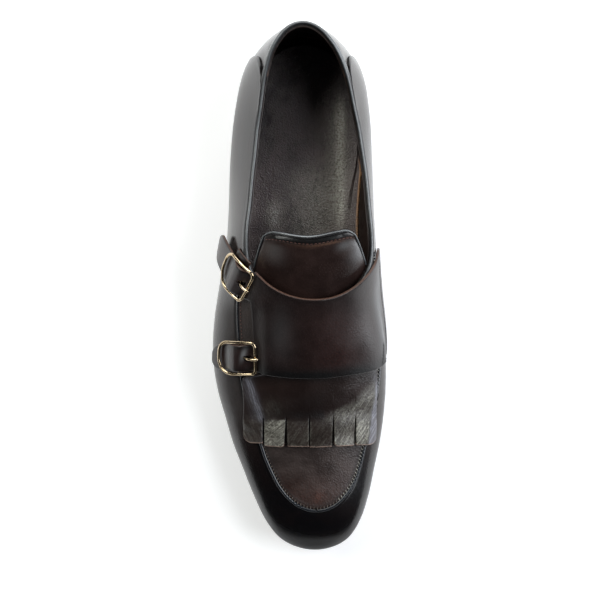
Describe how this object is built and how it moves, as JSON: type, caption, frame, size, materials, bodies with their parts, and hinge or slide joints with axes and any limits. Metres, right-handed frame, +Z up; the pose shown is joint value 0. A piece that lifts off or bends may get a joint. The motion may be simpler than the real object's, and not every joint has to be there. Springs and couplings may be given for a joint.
{
  "type": "loafer",
  "caption": "Leather slip-on loafer with an apron toe, a fringed flap and buckled instep straps, on a stacked heel; a foot goes in at the collar.",
  "frame": {"origin": "on the ground at the middle of the heel", "axes": "+Z up, +Y towards the back of the heel, -Y towards the toe, +X towards the inner side of this right shoe"},
  "size_m": [0.0995, 0.2943, 0.0873],
  "materials": {
    "upper_leather": "polished near-black brown calf",
    "apron_leather": "waxed dark brown calf, matt",
    "strap_leather": "smooth brown calf, burnished dark at the edges",
    "kiltie_leather": "creased glossy calf",
    "tongue_leather": "soft calf with a bound edge",
    "binding_leather": "thin rolled binding",
    "lining_leather": "brown calf lining",
    "sock_leather": "fine grain sock, slight sheen",
    "raw_edge": "uncoated cut edge",
    "thread": "waxed thread",
    "sole_leather": "oak-bark leather, edge inked near black",
    "heel_leather": "stacked leather, inked near black",
    "heel_rubber": "matt black rubber",
    "buckle_brass": "polished pale gold plating"
  },
  "bodies": {
    "root": {"outsole": "sole_leather", "heel_stack": "heel_leather", "heel_top_lift": "heel_rubber", "insole": "sock_leather", "upper": "upper_leather", "tongue": "tongue_leather", "kiltie": "kiltie_leather", "strap_panel": "strap_leather", "front_buckle_tab": "strap_leather", "rear_buckle_tab": "strap_leather", "front_buckle_pin": "buckle_brass", "rear_buckle_pin": "buckle_brass", "front_buckle_frame": "buckle_brass", "rear_buckle_frame": "buckle_brass", "front_buckle_prong": "buckle_brass", "rear_buckle_prong": "buckle_brass"}
  },
  "joints": []
}
